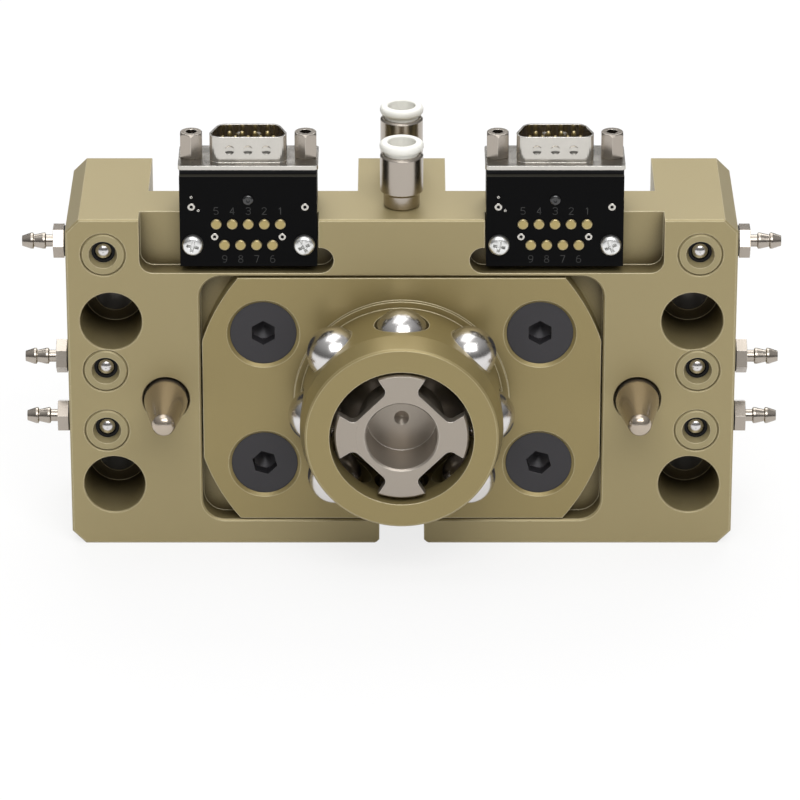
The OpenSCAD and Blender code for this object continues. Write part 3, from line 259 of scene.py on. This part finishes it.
def finish(name, colour, roughness, metallic=0.0, grain=1800.0, grain_depth=0.02, tone=40.0,
           tone_change=0.1, roughness_change=0.15, highlight_colour=None, edge_radius=0.00025, edge_gain=3.0,
           rings=None, ring_depth=0.0, ring_centre=(0, 0, 0), ring_fold=False, side_colour=None,
           recess=None, coat=0.0, coat_roughness=0.1, specular=0.5):
    """Procedural surface of grain and tone, with what else is given a value.

    The colour given for edges is a painted highlight on them, and the one for recesses is painted shade in
    bores and inner corners; side_colour is the colour of side faces. rings are lathe marks about ring_centre,
    and ring_fold repeats that centre left and right, and above and below.
    """
    material = bpy.data.materials.new(name)
    material.use_nodes = True
    tree = material.node_tree
    shader = tree.nodes["Principled BSDF"]
    place = tree.nodes.new("ShaderNodeTexCoord").outputs["Object"]
    skin = place_group(tree, FINE_GRAIN, Position=place, Grain_per_metre=grain, Tone_per_metre=tone,
                       Colour=(*colour, 1), Tone_change=tone_change, Roughness=roughness,
                       Roughness_change=roughness_change)
    shown = skin.outputs["Colour"]
    rough = skin.outputs["Roughness"]
    height = math_node(tree, "MULTIPLY", skin.outputs["Height"], grain_depth)
    if rings:
        spot = place
        if ring_fold:
            fold = tree.nodes.new("ShaderNodeVectorMath")
            fold.operation = "ABSOLUTE"
            tree.links.new(place, fold.inputs[0])
            spot = fold.outputs[0]
        marks = place_group(tree, TURNED_MARKS, Position=spot, Centre=ring_centre, Rings_per_metre=rings)
        cut_in = math_node(tree, "MULTIPLY", marks.outputs["Rings"], ring_depth)
        height = math_node(tree, "ADD", height, cut_in)
        centred = math_node(tree, "SUBTRACT", marks.outputs["Rings"], 0.5)
        uneven = math_node(tree, "MULTIPLY", centred, 0.2)
        rough = math_node(tree, "ADD", rough, uneven, clamp=True)
    bump = tree.nodes.new("ShaderNodeBump")
    bump.inputs["Distance"].default_value = BUMP_DISTANCE
    bump.inputs["Strength"].default_value = 1.0
    tree.links.new(height, bump.inputs["Height"])
    # painted shade: bores and inner corners are darkened in the colour
    if recess:
        shelter = place_group(tree, PAINTED_RECESS_SHADE)
        shown = mix_colour(tree, shelter.outputs["Recess"], shown, (*recess, 1))
    # painted highlight: edges are brightened in the colour; the rounded normal also shades them
    if highlight_colour:
        edge = place_group(tree, PAINTED_EDGE_HIGHLIGHT, Edge_radius=edge_radius, Gain=edge_gain)
        shown = mix_colour(tree, edge.outputs["Edge"], shown, (*highlight_colour, 1))
        tree.links.new(edge.outputs["Normal"], bump.inputs["Normal"])
    if side_colour:
        facing = tree.nodes.new("ShaderNodeSeparateXYZ")
        tree.links.new(tree.nodes.new("ShaderNodeTexCoord").outputs["Normal"], facing.inputs[0])
        forward = math_node(tree, "ABSOLUTE", facing.outputs["Y"])
        sideways = math_node(tree, "LESS_THAN", forward, SIDE_LEAN)
        shown = mix_colour(tree, sideways, shown, (*side_colour, 1))
    tree.links.new(shown, shader.inputs["Base Color"])
    tree.links.new(rough, shader.inputs["Roughness"])
    tree.links.new(bump.outputs["Normal"], shader.inputs["Normal"])
    shader.inputs["Metallic"].default_value = metallic
    shader.inputs["Specular IOR Level"].default_value = specular
    shader.inputs["Coat Weight"].default_value = coat
    shader.inputs["Coat Roughness"].default_value = coat_roughness
    return material


OLIVE = (0.345, 0.283, 0.142)
OLIVE_DEEP = (0.305, 0.242, 0.105)
# painted highlight on edges
OLIVE_EDGE_HIGHLIGHT = (0.72, 0.64, 0.43)
# painted shade in bores and inner corners
OLIVE_PAINTED_SHADE = (0.060, 0.042, 0.014)
FLANGE_SCREW_AT = (0.0305, 0, 0.0157)      # the upper right one of the four

# In these finishes the colour given for edges is a painted highlight.
anodised_frame = finish("anodised_frame", OLIVE, 0.42, metallic=0.3, grain=2600, grain_depth=0.012,
                        tone_change=0.08, highlight_colour=OLIVE_EDGE_HIGHLIGHT, edge_radius=0.0004, edge_gain=6.0,
                        recess=OLIVE_PAINTED_SHADE)
# its recess colour is painted shade in bores and inner corners
anodised_housing = finish("anodised_housing", OLIVE_DEEP, 0.40, metallic=0.4, grain=2600, grain_depth=0.008,
                          tone_change=0.07, highlight_colour=OLIVE_EDGE_HIGHLIGHT, edge_radius=0.00035, edge_gain=6.0,
                          recess=(0.15, 0.115, 0.045), rings=3200, ring_depth=0.006)
anodised_insert = finish("anodised_insert", (0.34, 0.285, 0.15), 0.4, metallic=0.3, grain=2600,
                         grain_depth=0.01, tone_change=0.06, highlight_colour=OLIVE_EDGE_HIGHLIGHT, edge_radius=0.0003,
                         edge_gain=5.0)
black_oxide = finish("black_oxide", (0.038, 0.036, 0.040), 0.42, metallic=0.35, grain=3000, grain_depth=0.012,
                     tone_change=0.5, highlight_colour=(0.11, 0.105, 0.11), edge_radius=0.0002, edge_gain=2.0,
                     rings=2600, ring_depth=0.006, ring_centre=FLANGE_SCREW_AT, ring_fold=True)
cam_steel = finish("cam_steel", (0.385, 0.34, 0.29), 0.34, metallic=0.7, grain=4000, grain_depth=0.004,
                   tone_change=0.12, highlight_colour=(0.8, 0.76, 0.7), edge_radius=0.0003, edge_gain=5.0,
                   rings=5000, ring_depth=0.002)
pin_steel = finish("pin_steel", (0.50, 0.43, 0.35), 0.24, metallic=0.9, grain=5000, grain_depth=0.003,
                   tone_change=0.15)
ball_chrome = finish("ball_chrome", (0.70, 0.68, 0.67), 0.22, metallic=1.0, grain=6000, grain_depth=0.0004,
                     tone_change=0.04, roughness_change=0.04)
spring_wire = finish("spring_wire", (0.36, 0.36, 0.38), 0.3, metallic=1.0, grain=5000, grain_depth=0.003)
nickel_plate = finish("nickel_plate", (0.43, 0.385, 0.335), 0.24, metallic=1.0, grain=3500,
                      grain_depth=0.0015, tone_change=0.18, highlight_colour=(0.85, 0.82, 0.76), edge_radius=0.00015)
tin_plate = finish("tin_plate", (0.60, 0.575, 0.53), 0.2, metallic=1.0, grain=2200, grain_depth=0.0035,
                   tone=300.0, tone_change=0.3, roughness_change=0.25, highlight_colour=(0.9, 0.88, 0.84),
                   edge_radius=0.00015)
zinc_plate = finish("zinc_plate", (0.85, 0.85, 0.84), 0.34, metallic=1.0, grain=3500, grain_depth=0.005,
                    tone=500.0, tone_change=0.25, roughness_change=0.2, highlight_colour=(0.9, 0.9, 0.9),
                    edge_radius=0.00012)
contact_gold = finish("contact_gold", (0.44, 0.35, 0.15), 0.32, metallic=0.9, grain=5000, grain_depth=0.004,
                      tone=700.0, tone_change=0.25, highlight_colour=(0.70, 0.62, 0.45), edge_radius=0.0004,
                      edge_gain=5.0)
seal_rubber = finish("seal_rubber", (0.008, 0.008, 0.009), 0.6, grain=3500, grain_depth=0.02, tone_change=0.4,
                     specular=0.25)
solder_mask = finish("solder_mask", (0.0015, 0.0015, 0.0018), 0.5, grain=5000, grain_depth=0.004,
                     tone=400.0, tone_change=1.2, roughness_change=0.2, specular=0.08,
                     side_colour=(0.03, 0.028, 0.022))
moulded_black = finish("moulded_black", (0.008, 0.008, 0.009), 0.5, grain=3500, grain_depth=0.02,
                       tone_change=0.5, highlight_colour=(0.03, 0.03, 0.03), edge_radius=0.0002, specular=0.25)
insulator_brown = finish("insulator_brown", (0.045, 0.028, 0.014), 0.45, grain=4000, grain_depth=0.01,
                         tone_change=0.3)
acetal_white = finish("acetal_white", (0.88, 0.87, 0.81), 0.42, grain=2500, grain_depth=0.006,
                      tone_change=0.04, highlight_colour=(0.92, 0.91, 0.86), edge_radius=0.0002)
plug_gloss = finish("plug_gloss", (0.010, 0.010, 0.011), 0.3, grain=3500, grain_depth=0.008, tone_change=0.4,
                    coat=0.7, coat_roughness=0.12)
print_white = finish("print_white", (0.032, 0.032, 0.031), 0.6, grain=5000, grain_depth=0.01, tone=900.0,
                     tone_change=0.5)

# The finish that each material slot of the record gets.
FINISH_OF_SLOT = {
    "anodised_frame": anodised_frame, "anodised_housing": anodised_housing,
    "anodised_insert": anodised_insert, "black_screw": black_oxide, "cam_steel": cam_steel,
    "pin_steel": pin_steel, "ball_chrome": ball_chrome, "spring_steel": spring_wire,
    "nickel_brass": nickel_plate, "rubber": seal_rubber, "board_black": solder_mask,
    "housing_plastic": moulded_black, "contact_gold": contact_gold, "tin_plate": tin_plate,
    "insulator_brown": insulator_brown, "zinc_screw": zinc_plate, "collar_white": acetal_white,
}

for row in frame["record"]["subparts"]:
    mesh = nodes[row["node"]].data
    mesh.materials.clear()
    mesh.materials.append(FINISH_OF_SLOT[row["material_slot"]])


# ---- small pieces on the contact boards ----

def ring_of_points(work, centre, radius, y, count):
    """Points on a circle that faces the front; centre is across and up."""
    x, z = centre
    step = 2 * math.pi / count
    return [work.verts.new((x + radius * math.cos(i * step), y, z + radius * math.sin(i * step)))
            for i in range(count)]


def join_rings(work, a, b, smooth=True):
    """Band of faces between two rings with the same count of points."""
    for i in range(len(a)):
        face = work.faces.new((a[i], a[i - 1], b[i - 1], b[i]))
        face.smooth = smooth


def turn_profile(work, centre, profile, count=40):
    """Rings of points about a line that runs front to back, joined in order; returns the rings."""
    rings = [ring_of_points(work, centre, radius, y, count) for radius, y in profile]
    for a, b in zip(rings, rings[1:]):
        join_rings(work, a, b)
    return rings


SHARP_ANGLE = 35           # degrees between faces, above which their edge stays sharp


def piece_from(work, name, material, slot, *replaced):
    """Mesh of the faces made so far, as a piece fixed to the frame body."""
    bmesh.ops.recalc_face_normals(work, faces=work.faces)
    mesh = bpy.data.meshes.new(name)
    work.to_mesh(mesh)
    work.free()
    mesh.set_sharp_from_angle(angle=math.radians(SHARP_ANGLE))
    mesh.materials.append(material)
    piece = bpy.data.objects.new(name, mesh)
    bpy.context.scene.collection.objects.link(piece)
    if replaced:
        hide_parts(*replaced)
    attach(piece, "frame")
    return piece


def cross_points(arm, half):
    """Outline of a plus sign, as (across, up) points."""
    points = []
    for c, s in ((1, 0), (0, 1), (-1, 0), (0, -1)):
        for u, v in ((arm, -half), (arm, half), (half, half)):
            points.append((u * c - v * s, u * s + v * c))
    return points


# Pan head of a board screw: shares of its radius, with shares of its height counted from the front.
HEAD_CURVE = ((0.66, 0), (0.82, 0.12), (0.94, 0.34), (1, 0.62))
CROSS_ARM = 0.58           # half the width of the cross recess, as a share of the head's radius
CROSS_HALF = 0.15          # half the thickness of its arms, as the same share
CROSS_DEEP = 0.75          # its depth, as a share of the head's height
CROSS_TAPER = 0.62         # size of its floor, as a share of its mouth
SHANK_SHARE = 0.53         # radius of the shank, as a share of the head's radius
CROSS_TURNS = (-12, 24)    # degrees that the two screws of a board are turned


def add_cross_screw(work, centre, front, seat, back, head_r, shank_r, turn):
    """Pan head with a cross recess, and its shank."""
    head = seat - front
    crown = [(share * head_r, front + down * head) for share, down in HEAD_CURVE]
    shank = [(shank_r, seat), (shank_r, back - shank_r / 2), (shank_r / 2, back)]
    rings = turn_profile(work, centre, crown + [(head_r, seat)] + shank)
    work.faces.new(rings[-1])
    deep = front + CROSS_DEEP * head
    c, s = math.cos(turn), math.sin(turn)
    loops = []
    for scale, y in ((1.0, front), (CROSS_TAPER, deep)):
        points = cross_points(CROSS_ARM * head_r * scale, CROSS_HALF * head_r * scale)
        loops.append([work.verts.new((centre[0] + u * c - v * s, y, centre[1] + u * s + v * c))
                      for u, v in points])
    join_rings(work, loops[0], loops[1], smooth=False)
    work.faces.new(loops[1])
    rim = [work.edges.get((rings[0][i], rings[0][i - 1])) for i in range(len(rings[0]))]
    mouth = [work.edges.get((loops[0][i], loops[0][i - 1])) for i in range(len(loops[0]))]
    bmesh.ops.triangle_fill(work, edges=rim + mouth, use_beauty=True)


def make_board_screws(side):
    """Both screws of a board, in one piece that stands for their solids."""
    low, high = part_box(f"board_screws_{side}")
    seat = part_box(f"contact_board_{side}")[0][1]
    head_r = (high[2] - low[2]) / 2
    work = bmesh.new()
    for x, turn in zip((low[0] + head_r, high[0] - head_r), CROSS_TURNS):
        add_cross_screw(work, (x, low[2] + head_r), low[1], seat, high[1], head_r, head_r * SHANK_SHARE,
                        math.radians(turn))
    piece_from(work, f"cross_screws_{side}", zinc_plate, "zinc_screw", f"board_screws_{side}")


# Strokes of each number, as points across and up in shares of its height.
DIGITS = {
    1: [[(0.12, 0.78), (0.35, 1.0), (0.35, 0.0)]],
    2: [[(0.0, 0.8), (0.1, 0.95), (0.3, 1.0), (0.5, 0.95), (0.6, 0.78), (0.54, 0.6), (0.0, 0.0), (0.6, 0.0)]],
    3: [[(0.0, 0.87), (0.15, 1.0), (0.45, 1.0), (0.6, 0.87), (0.6, 0.66), (0.42, 0.53), (0.2, 0.53)],
        [(0.42, 0.53), (0.6, 0.4), (0.6, 0.14), (0.45, 0.0), (0.15, 0.0), (0.0, 0.13)]],
    4: [[(0.45, 0.0), (0.45, 1.0), (0.0, 0.3), (0.6, 0.3)]],
    5: [[(0.55, 1.0), (0.06, 1.0), (0.0, 0.55), (0.3, 0.61), (0.54, 0.5), (0.6, 0.3), (0.52, 0.08),
         (0.3, 0.0), (0.03, 0.08)]],
    6: [[(0.5, 0.95), (0.3, 1.0), (0.1, 0.85), (0.0, 0.5), (0.0, 0.18), (0.15, 0.0), (0.45, 0.0),
         (0.6, 0.18), (0.6, 0.4), (0.45, 0.57), (0.15, 0.57), (0.0, 0.4)]],
    7: [[(0.0, 1.0), (0.6, 1.0), (0.25, 0.0)]],
    8: [[(0.3, 0.53), (0.08, 0.65), (0.05, 0.86), (0.18, 1.0), (0.42, 1.0), (0.55, 0.86), (0.52, 0.65),
         (0.3, 0.53), (0.02, 0.38), (0.0, 0.14), (0.15, 0.0), (0.45, 0.0), (0.6, 0.14), (0.58, 0.38),
         (0.3, 0.53)]],
    9: [[(0.1, 0.05), (0.3, 0.0), (0.5, 0.15), (0.6, 0.5), (0.6, 0.82), (0.45, 1.0), (0.15, 1.0), (0.0, 0.82),
         (0.0, 0.6), (0.15, 0.43), (0.45, 0.43), (0.6, 0.6)]],
}


PAD_D = 0.0024             # diameter of a contact
UPPER_CONTACTS = (5, 4, 3, 2, 1)
LOWER_CONTACTS = (9, 8, 7, 6)
DIGIT_TALL = 0.0016
DIGIT_WIDE = 0.6           # width of a full number, as a share of its height
DIGIT_STROKE = 0.00017     # width of a printed line
STROKE_ROUND = 10          # points round the end of a printed line
PRINT_PROUD = 0.00003      # ink above the board
DIGITS_ABOVE = 0.0011      # from the upper contacts up to the foot of their numbers
DIGITS_BELOW = 0.0029      # from the lower contacts down to the foot of their numbers


def add_stroke(work, start, end, y, width):
    """Flat ribbon between two points, with a round end at the second one."""
    run = Vector((end[0] - start[0], end[1] - start[1]))
    across = Vector((-run.y, run.x)).normalized() * width / 2
    corners = [(start[0] + across.x, start[1] + across.y), (end[0] + across.x, end[1] + across.y),
               (end[0] - across.x, end[1] - across.y), (start[0] - across.x, start[1] - across.y)]
    work.faces.new([work.verts.new((x, y, z)) for x, z in corners])
    work.faces.new(ring_of_points(work, end, width / 2, y, STROKE_ROUND))


def make_board_print(side):
    """Contact numbers above the upper row of pads and below the lower one."""
    low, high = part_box(f"contact_pads_{side}")
    board_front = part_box(f"contact_board_{side}")[0][1]
    middle = (low[0] + high[0]) / 2
    pitch = (high[0] - low[0] - PAD_D) / (len(UPPER_CONTACTS) - 1)
    y = board_front - PRINT_PROUD
    work = bmesh.new()
    rows = ((UPPER_CONTACTS, high[2] + DIGITS_ABOVE), (LOWER_CONTACTS, low[2] - DIGITS_BELOW))
    for numbers, base in rows:
        for place, number in enumerate(numbers):
            x = middle + (place - (len(numbers) - 1) / 2) * pitch - DIGIT_WIDE / 2 * DIGIT_TALL
            for line in DIGITS[number]:
                points = [(x + u * DIGIT_TALL, base + v * DIGIT_TALL) for u, v in line]
                for start, end in zip(points, points[1:]):
                    add_stroke(work, start, end, y, DIGIT_STROKE)
    piece_from(work, f"contact_numbers_{side}", print_white, "collar_white")


MM = 0.001
# Across from the board's middle, up from the middle of the upper contacts, and outer radius, in millimetres.
RINGED_HOLES = ((7.4, -3.0, 0.80), (-7.4, -3.0, 0.80), (12.4, 4.0, 0.82), (-12.4, 4.0, 0.82),
                (-10.9, 3.2, 0.3), (-12.4, 6.3, 0.3))
# Cross section of a ring: shares of its outer radius, with metres above the board.
RING_SECTION = ((0.45, 0), (0.5, 0.00004), (0.92, 0.00005), (1, 0))
# Cross section of the round plug, from its rim to its dimple: radii, with metres above the board.
PLUG_SECTION = ((0.00115, 0), (0.00112, 0.0003), (0.00095, 0.00048), (0.0006, 0.00056),
                (0.0004, 0.0005), (0.0003, 0.0003))
PLUG_UP = 0.0057           # from the middle of the upper contacts up to the middle of the plug
SMALL_ROUND = 28           # points round a ring or a plug


def make_board_fittings(side):
    """Raised tin rings that stand for the board's plated holes, and the round plug above the numbers."""
    low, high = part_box(f"contact_pads_{side}")
    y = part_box(f"contact_board_{side}")[0][1]
    middle = (low[0] + high[0]) / 2
    upper = high[2] - PAD_D / 2
    work = bmesh.new()
    for across, up, outer in RINGED_HOLES:
        centre = (middle + across * MM, upper + up * MM)
        r = outer * MM
        section = [(share * r, y - proud) for share, proud in RING_SECTION]
        turn_profile(work, centre, section, SMALL_ROUND)
    piece_from(work, f"ringed_holes_{side}", tin_plate, "tin_plate")
    work = bmesh.new()
    section = [(radius, y - proud) for radius, proud in PLUG_SECTION]
    rings = turn_profile(work, (middle, upper + PLUG_UP), section, SMALL_ROUND)
    work.faces.new(rings[-1])
    piece_from(work, f"board_plug_{side}", plug_gloss, "housing_plastic")


for side in SIDES:
    make_board_screws(side)
    make_board_print(side)
    make_board_fittings(side)


# ---- springs behind the poppets ----

SPRING_WIRE = 0.0006       # diameter of the wire
SPRING_TURNS = 4
CLOSED_TURNS = 0.5         # flat turns at each end
COIL_STEPS = 150           # sections along the coil
WIRE_SIDES = 8             # points round the wire


def make_poppet_spring(port):
    """Coil spring with closed ends, in the box of the CAD spring that it stands for."""
    low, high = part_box(f"poppet_spring_{port}")
    x, z = (low[0] + high[0]) / 2, (low[2] + high[2]) / 2
    wire_r = SPRING_WIRE / 2
    coil_r = (high[0] - low[0]) / 2 - wire_r
    front, back = low[1] + wire_r, high[1] - wire_r
    turns = SPRING_TURNS + 2 * CLOSED_TURNS
    work = bmesh.new()
    loops = []
    for i in range(COIL_STEPS + 1):
        turn = turns * i / COIL_STEPS
        climb = min(max((turn - CLOSED_TURNS) / SPRING_TURNS, 0), 1)
        a = 2 * math.pi * turn
        y = front + (back - front) * climb
        section = []
        for k in range(WIRE_SIDES):
            b = 2 * math.pi / WIRE_SIDES * k
            out = coil_r + wire_r * math.cos(b)
            section.append(work.verts.new((x + out * math.cos(a), y + wire_r * math.sin(b),
                                           z + out * math.sin(a))))
        loops.append(section)
    for a, b in zip(loops, loops[1:]):
        join_rings(work, a, b)
    work.faces.new(loops[0])
    work.faces.new(loops[-1])
    spring = piece_from(work, f"coil_spring_{port}", spring_wire, "spring_steel", f"poppet_spring_{port}")
    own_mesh(spring)


for side in SIDES:
    for row in ("top", "mid", "low"):
        make_poppet_spring(f"{side}_{row}")


# ---- camera ----

CAMERA_TARGET = Vector((0, -0.0375, -0.00019))      # on the front of the frame
CAMERA_AWAY = 1.199        # metres from the target
CAMERA_UP = 23.83          # degrees above level

camera_data = bpy.data.cameras.new("camera")
camera_data.lens = 243.5
camera_data.sensor_width = 36
camera_data.shift_x = -0.00206
camera_data.clip_start = 0.05
camera_data.clip_end = 20
camera = bpy.data.objects.new("camera", camera_data)
elevation = math.radians(CAMERA_UP)
away = Vector((0, -math.cos(elevation), math.sin(elevation)))
camera.location = CAMERA_TARGET + CAMERA_AWAY * away
camera.rotation_euler = (math.pi / 2 - elevation, 0, 0)
bpy.context.scene.collection.objects.link(camera)
bpy.context.scene.camera = camera


# ---- floor and light ----

FLOOR_HALF = 6             # half its width, in metres
FLOOR_FRONT = -1.6
FLOOR_BACK = 12
SEEN_PALE = 0.8            # how white the floor is to the camera
MIRRORED_PALE = 0.6        # how white it is in metal and glass


def make_floor():
    """Plain pale floor that keeps the object's shadow."""
    low = cad_box[0][2]
    corners = [(-FLOOR_HALF, FLOOR_FRONT, low), (FLOOR_HALF, FLOOR_FRONT, low),
               (FLOOR_HALF, FLOOR_BACK, low), (-FLOOR_HALF, FLOOR_BACK, low)]
    mesh = bpy.data.meshes.new("floor")
    mesh.from_pydata(corners, [], [(0, 1, 2, 3)])
    floor = bpy.data.objects.new("floor", mesh)
    bpy.context.scene.collection.objects.link(floor)
    material = bpy.data.materials.new("pale_floor")
    material.use_nodes = True
    tree = material.node_tree
    plain = tree.nodes["Principled BSDF"]
    plain.inputs["Base Color"].default_value = (0.9, 0.9, 0.9, 1)
    plain.inputs["Roughness"].default_value = 0.8
    plain.inputs["Specular IOR Level"].default_value = 0.1
    pale = tree.nodes.new("ShaderNodeEmission")
    pale.inputs["Color"].default_value = (1, 1, 1, 1)
    pale.inputs["Strength"].default_value = 1.0
    path = tree.nodes.new("ShaderNodeLightPath")
    glossy_or_glass = math_node(tree, "MAXIMUM", path.outputs["Is Glossy Ray"],
                                path.outputs["Is Transmission Ray"])
    seen = math_node(tree, "MULTIPLY", path.outputs["Is Camera Ray"], SEEN_PALE)
    mirrored = math_node(tree, "MULTIPLY", glossy_or_glass, MIRRORED_PALE)
    share = math_node(tree, "MAXIMUM", seen, mirrored)
    mix = tree.nodes.new("ShaderNodeMixShader")
    tree.links.new(share, mix.inputs[0])
    tree.links.new(plain.outputs[0], mix.inputs[1])
    tree.links.new(pale.outputs[0], mix.inputs[2])
    tree.links.new(mix.outputs[0], tree.nodes["Material Output"].inputs["Surface"])
    mesh.materials.append(material)


def make_world():
    """Pale overhead and darker toward the horizon, so that metal shows contrast and bores stay dark."""
    world = bpy.data.worlds.new("studio")
    bpy.context.scene.world = world
    world.use_nodes = True
    tree = world.node_tree
    background = tree.nodes["Background"]
    direction = tree.nodes.new("ShaderNodeTexCoord").outputs["Generated"]
    parts = tree.nodes.new("ShaderNodeSeparateXYZ")
    tree.links.new(direction, parts.inputs[0])
    ramp = tree.nodes.new("ShaderNodeValToRGB")
    ramp.color_ramp.elements[0].position = 0.05
    ramp.color_ramp.elements[0].color = (0.14, 0.135, 0.13, 1)
    ramp.color_ramp.elements[1].position = 0.85
    ramp.color_ramp.elements[1].color = (0.95, 0.95, 0.95, 1)
    tree.links.new(parts.outputs["Z"], ramp.inputs["Fac"])
    tree.links.new(ramp.outputs["Color"], background.inputs["Color"])
    background.inputs["Strength"].default_value = 0.5


def softbox(name, place, aim, width, height, power):
    """Rectangular lamp that faces its aim: sizes in metres, power in watts."""
    data = bpy.data.lights.new(name, "AREA")
    data.shape = "RECTANGLE"
    data.size = width
    data.size_y = height
    data.energy = power
    lamp = bpy.data.objects.new(name, data)
    lamp.location = place
    lamp.rotation_euler = (Vector(aim) - Vector(place)).to_track_quat("-Z", "Y").to_euler()
    bpy.context.scene.collection.objects.link(lamp)


make_floor()
make_world()
softbox("top_softbox", (-0.1, 0.05, 1.2), aim=(0, -0.02, 0), width=1.0, height=0.8, power=4.0)
softbox("rear_softbox", (0.05, 0.92, 1.0), aim=(0, -0.02, 0), width=1.2, height=0.8, power=8.5)
softbox("front_softbox", (0.15, -0.9, 1.0), aim=(0, -0.04, 0), width=1.1, height=0.7, power=10.8)

bpy.context.scene.view_settings.view_transform = "Standard"
